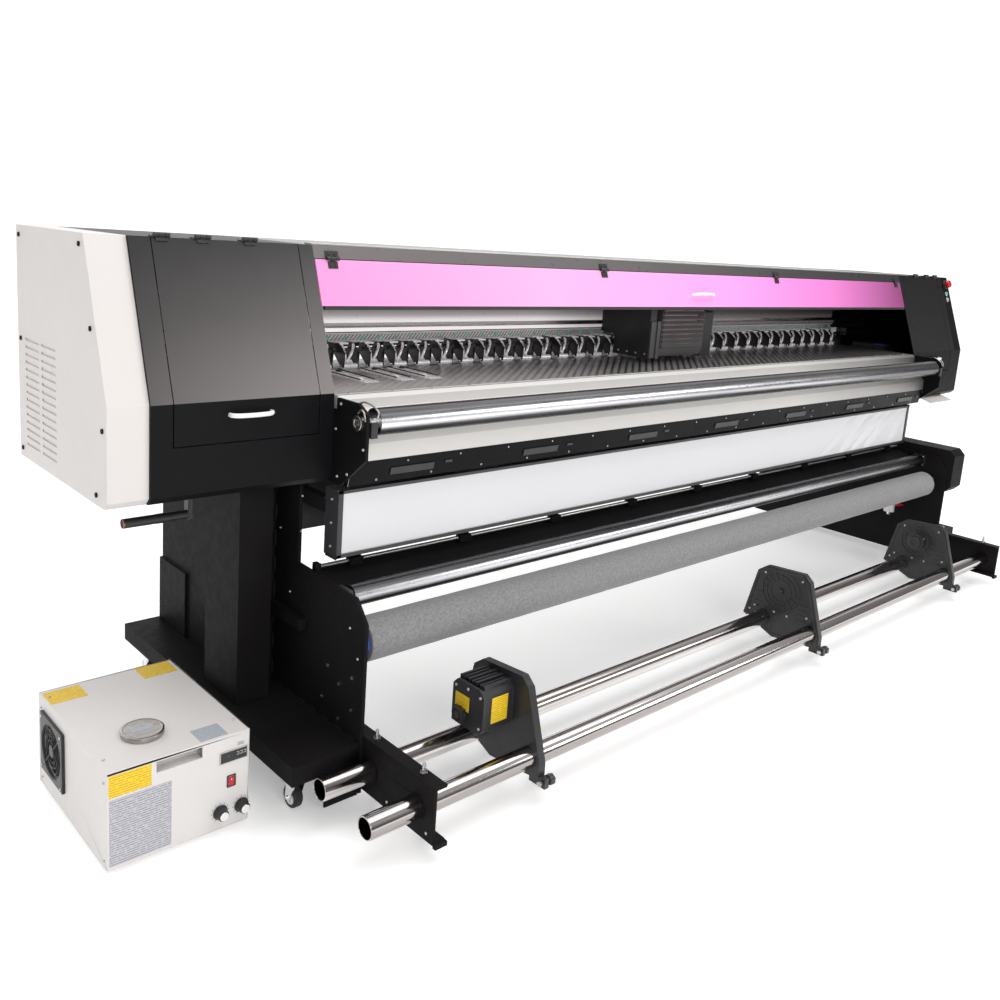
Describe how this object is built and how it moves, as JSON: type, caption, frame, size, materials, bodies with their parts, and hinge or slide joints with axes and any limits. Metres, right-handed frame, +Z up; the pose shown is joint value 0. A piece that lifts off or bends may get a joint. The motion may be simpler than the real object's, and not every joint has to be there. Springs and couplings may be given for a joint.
{
  "type": "wide-format roll-to-roll printer",
  "caption": "Floor-standing wide roll-to-roll printer: end housings with service doors, tinted window, carriage, pinch rollers, take-up rails and a water cooler.",
  "frame": {"origin": "on the floor below the middle of the print opening", "axes": "+X along the machine towards the switch end, +Y to the rear, +Z up"},
  "size_m": [4.643, 1.359, 1.439],
  "materials": {
    "white_coat": "satin powder coat, warm white",
    "black_coat": "satin black powder coat",
    "dark_grey": "dark grey coat",
    "cream_coat": "cream satin coat",
    "steel": "brushed",
    "chrome": "polished",
    "aluminium": "anodised",
    "black_plastic": "fine grain",
    "white_plastic": "gloss",
    "red_plastic": "gloss",
    "green_plastic": "gloss",
    "pink_glass": "tinted acrylic sheet",
    "film": "stretched white film",
    "felt": "mottled grey felt",
    "rubber": "matt"
  },
  "bodies": {
    "frame": {"air_filter": "white_plastic", "body_covers": "dark_grey", "cap_station": "dark_grey", "cross_beam": "black_coat", "end_brackets": "black_coat", "feed_guard": "black_coat", "fixed_hinges": "black_plastic", "foot_boxes": "black_coat", "front_apron": "cream_coat", "head_frames": "black_coat", "leg_boxes": "black_coat", "leg_plates": "black_coat", "light_box_film": "film", "light_box_frame": "black_coat", "platen": "steel", "roller_bearings": "black_plastic", "screws": "steel", "shell_left": "white_coat", "shell_right": "white_coat", "switch_panel": "black_plastic", "takeup_arms": "black_coat", "takeup_tubes": "chrome", "upper_beam": "aluminium"},
    "door left": {"door_left": "black_coat"},
    "door right": {"door_right": "black_coat"},
    "window": {"window": "pink_glass"},
    "carriage": {"carriage": "black_plastic"},
    "pinch arms": {"pinch_arms": "black_coat"},
    "pinch rollers": {"pinch_rollers": "chrome"},
    "lift lever": {"lift_lever": "steel"},
    "grit roller": {"grit_roller": "steel"},
    "pressure roller": {"pressure_roller": "chrome"},
    "idle roller": {"idle_roller": "chrome"},
    "felt roll": {"felt_roll": "felt"},
    "roll holder 1": {"holder_1": "black_plastic"},
    "core chuck 1": {"chuck_1": "aluminium"},
    "clamp knob 1": {"clamp_knob_1": "black_plastic"},
    "roll holder 2": {"holder_2": "black_plastic"},
    "core chuck 2": {"chuck_2": "aluminium"},
    "clamp knob 2": {"clamp_knob_2": "black_plastic"},
    "roll holder 3": {"holder_3": "black_plastic"},
    "core chuck 3": {"chuck_3": "aluminium"},
    "clamp knob 3": {"clamp_knob_3": "black_plastic"},
    "media clamp 1": {"media_clamp_1": "steel"},
    "media clamp 2": {"media_clamp_2": "steel"},
    "media clamp 3": {"media_clamp_3": "steel"},
    "emergency stop": {"estop": "red_plastic"},
    "start button": {"start_button": "green_plastic"},
    "front caster left": {"caster_fork_front_left": "chrome"},
    "front wheel left": {"caster_wheel_front_left": "rubber"},
    "rear wheel left": {"caster_wheel_rear_left": "rubber"},
    "front caster right": {"caster_fork_front_right": "chrome"},
    "front wheel right": {"caster_wheel_front_right": "rubber"},
    "rear wheel right": {"caster_wheel_rear_right": "rubber"},
    "cooler": {"cooler_case": "white_coat"},
    "cooler fan": {"cooler_fan": "black_plastic"},
    "cooler cap": {"cooler_cap": "chrome"},
    "cooler switch": {"cooler_switch": "red_plastic"},
    "cooler knob 1": {"cooler_knob_1": "black_plastic"},
    "cooler knob 2": {"cooler_knob_2": "black_plastic"}
  },
  "joints": [
    {"name": "door left hinge", "type": "hinge", "parent": "frame", "child": "door left", "pos_m": [0, -0.2952, 1.434], "axis": [-1, 0, 0], "range_deg": [0, 80]},
    {"name": "door right hinge", "type": "hinge", "parent": "frame", "child": "door right", "pos_m": [0, -0.2952, 1.434], "axis": [-1, 0, 0], "range_deg": [0, 80]},
    {"name": "window hinge", "type": "hinge", "parent": "frame", "child": "window", "pos_m": [0, -0.31021, 1.39503], "axis": [-1, 0, 0], "range_deg": [0, 95]},
    {"name": "carriage travel", "type": "slide", "parent": "frame", "child": "carriage", "axis": [1, 0, 0], "range_m": [-1.85, 1.85]},
    {"name": "pinch lift", "type": "hinge", "parent": "frame", "child": "pinch arms", "pos_m": [0, 0.008, 1.1], "axis": [-1, 0, 0], "range_deg": [0, 6]},
    {"name": "pinch roller spin", "type": "hinge", "parent": "pinch arms", "child": "pinch rollers", "pos_m": [0, -0.035, 1.0538], "axis": [1, 0, 0], "continuous": true},
    {"name": "lift lever turn", "type": "hinge", "parent": "frame", "child": "lift lever", "pos_m": [-2.01, -0.25, 0.783], "axis": [-1, 0, 0], "range_deg": [0, 66]},
    {"name": "grit roller spin", "type": "hinge", "parent": "frame", "child": "grit roller", "pos_m": [0, -0.035, 1.0335], "axis": [1, 0, 0], "continuous": true},
    {"name": "pressure roller spin", "type": "hinge", "parent": "frame", "child": "pressure roller", "pos_m": [0, -0.545, 0.995], "axis": [1, 0, 0], "continuous": true},
    {"name": "idle roller spin", "type": "hinge", "parent": "frame", "child": "idle roller", "pos_m": [0, -0.53, 0.525], "axis": [1, 0, 0], "continuous": true},
    {"name": "felt roll spin", "type": "hinge", "parent": "frame", "child": "felt roll", "pos_m": [0, -0.575, 0.415], "axis": [1, 0, 0], "continuous": true},
    {"name": "roll holder 1 slide", "type": "slide", "parent": "frame", "child": "roll holder 1", "axis": [1, 0, 0], "range_m": [-0.2, 0.6]},
    {"name": "core chuck 1 spin", "type": "hinge", "parent": "roll holder 1", "child": "core chuck 1", "pos_m": [-1.335, -0.762, 0.238], "axis": [1, 0, 0], "continuous": true},
    {"name": "clamp knob 1 turn", "type": "hinge", "parent": "roll holder 1", "child": "clamp knob 1", "pos_m": [-1.335, -0.948, 0.062], "axis": [1, 0, 0], "range_deg": [-180, 180]},
    {"name": "roll holder 2 slide", "type": "slide", "parent": "frame", "child": "roll holder 2", "axis": [1, 0, 0], "range_m": [-0.6, 0.6]},
    {"name": "core chuck 2 spin", "type": "hinge", "parent": "roll holder 2", "child": "core chuck 2", "pos_m": [0.12, -0.762, 0.238], "axis": [1, 0, 0], "continuous": true},
    {"name": "clamp knob 2 turn", "type": "hinge", "parent": "roll holder 2", "child": "clamp knob 2", "pos_m": [0.12, -0.948, 0.062], "axis": [1, 0, 0], "range_deg": [-180, 180]},
    {"name": "roll holder 3 slide", "type": "slide", "parent": "frame", "child": "roll holder 3", "axis": [1, 0, 0], "range_m": [-0.4, 0.32]},
    {"name": "core chuck 3 spin", "type": "hinge", "parent": "roll holder 3", "child": "core chuck 3", "pos_m": [1.3, -0.762, 0.238], "axis": [1, 0, 0], "continuous": true},
    {"name": "clamp knob 3 turn", "type": "hinge", "parent": "roll holder 3", "child": "clamp knob 3", "pos_m": [1.3, -0.948, 0.062], "axis": [1, 0, 0], "range_deg": [-180, 180]},
    {"name": "media clamp 1 slide", "type": "slide", "parent": "frame", "child": "media clamp 1", "axis": [1, 0, 0], "range_m": [-0.15, 0.035]},
    {"name": "media clamp 2 slide", "type": "slide", "parent": "frame", "child": "media clamp 2", "axis": [1, 0, 0], "range_m": [-0.035, 0.02]},
    {"name": "media clamp 3 slide", "type": "slide", "parent": "frame", "child": "media clamp 3", "axis": [1, 0, 0], "range_m": [-0.02, 2.4]},
    {"name": "emergency stop press", "type": "slide", "parent": "frame", "child": "emergency stop", "axis": [0, 0.9412, -0.3379], "range_m": [0, 0.004]},
    {"name": "start button press", "type": "slide", "parent": "frame", "child": "start button", "axis": [0, 0.9412, -0.3379], "range_m": [0, 0.003], "stiffness_N_per_m": 400},
    {"name": "front caster left swivel", "type": "hinge", "parent": "frame", "child": "front caster left", "pos_m": [-1.872, -0.592, 0.121], "axis": [0, 0, 1], "continuous": true},
    {"name": "front wheel left spin", "type": "hinge", "parent": "front caster left", "child": "front wheel left", "pos_m": [-1.872, -0.57, 0.031], "axis": [1, 0, 0], "continuous": true},
    {"name": "rear wheel left spin", "type": "hinge", "parent": "frame", "child": "rear wheel left", "pos_m": [-1.872, 0.332, 0.031], "axis": [1, 0, 0], "continuous": true},
    {"name": "front caster right swivel", "type": "hinge", "parent": "frame", "child": "front caster right", "pos_m": [1.872, -0.592, 0.121], "axis": [0, 0, 1], "continuous": true},
    {"name": "front wheel right spin", "type": "hinge", "parent": "front caster right", "child": "front wheel right", "pos_m": [1.872, -0.57, 0.031], "axis": [1, 0, 0], "continuous": true},
    {"name": "rear wheel right spin", "type": "hinge", "parent": "frame", "child": "rear wheel right", "pos_m": [1.872, 0.332, 0.031], "axis": [1, 0, 0], "continuous": true},
    {"name": "cooler move", "type": "slide", "parent": "frame", "child": "cooler", "axis": [-1, 0, 0], "range_m": [0, 0.5]},
    {"name": "cooler fan spin", "type": "hinge", "parent": "cooler", "child": "cooler fan", "pos_m": [-2.325, -0.215, 0.147], "axis": [1, 0, 0], "continuous": true},
    {"name": "cooler cap turn", "type": "hinge", "parent": "cooler", "child": "cooler cap", "pos_m": [-2.215, -0.443, 0.257], "axis": [0, 0, 1], "range_deg": [0, 270]},
    {"name": "cooler switch rock", "type": "hinge", "parent": "cooler", "child": "cooler switch", "pos_m": [-2.045, -0.5625, 0.133], "axis": [1, 0, 0], "range_deg": [-10, 0]},
    {"name": "cooler knob 1 turn", "type": "hinge", "parent": "cooler", "child": "cooler knob 1", "pos_m": [-2.073, -0.565, 0.058], "axis": [0, 1, 0], "range_deg": [-135, 135]},
    {"name": "cooler knob 2 turn", "type": "hinge", "parent": "cooler", "child": "cooler knob 2", "pos_m": [-2.017, -0.565, 0.058], "axis": [0, 1, 0], "range_deg": [-135, 135]}
  ],
  "couplings": [
    {"joint": "lift lever turn", "follows": "pinch lift", "ratio": 11}
  ]
}
